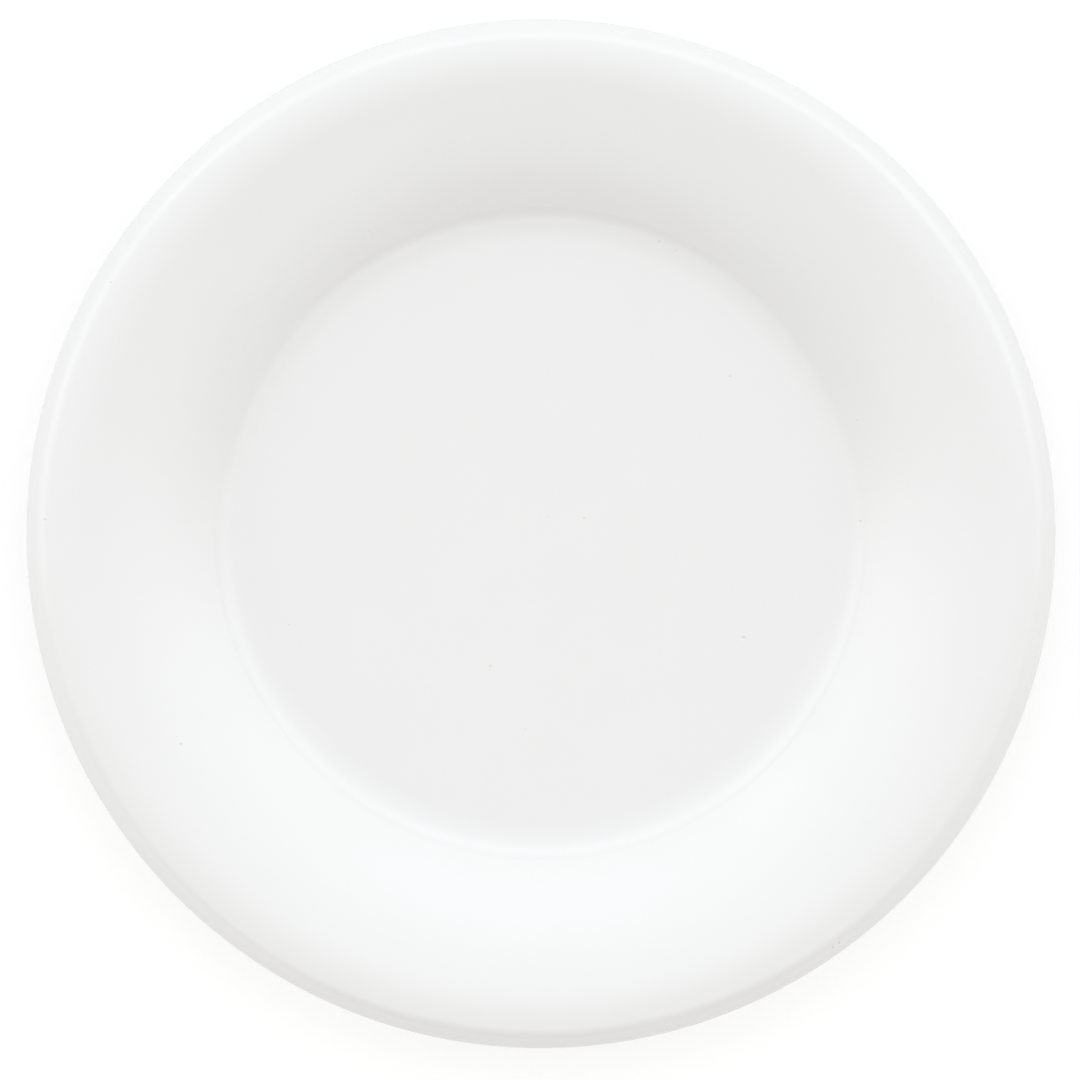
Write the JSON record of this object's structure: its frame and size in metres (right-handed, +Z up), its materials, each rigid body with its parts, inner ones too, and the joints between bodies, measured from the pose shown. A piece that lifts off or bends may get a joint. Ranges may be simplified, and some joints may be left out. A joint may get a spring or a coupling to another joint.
{
  "type": "wide rim plate",
  "caption": "Round white dinner plate in one moulded piece: flat well, wide sloping rim with a crisp inner crease, turned-down lip and low foot ring.",
  "frame": {"origin": "on the plate's axis, in the plane of the foot ring's flat underside, which is what the plate stands on", "axes": "+Z up along the plate's axis of revolution; +X and +Y lie in the table plane, and any direction in it is as good as another because the plate is round"},
  "size_m": [0.267, 0.267, 0.0246],
  "materials": {
    "glossy_white": "gloss"
  },
  "bodies": {
    "root": {"plate": "glossy_white"}
  },
  "joints": []
}
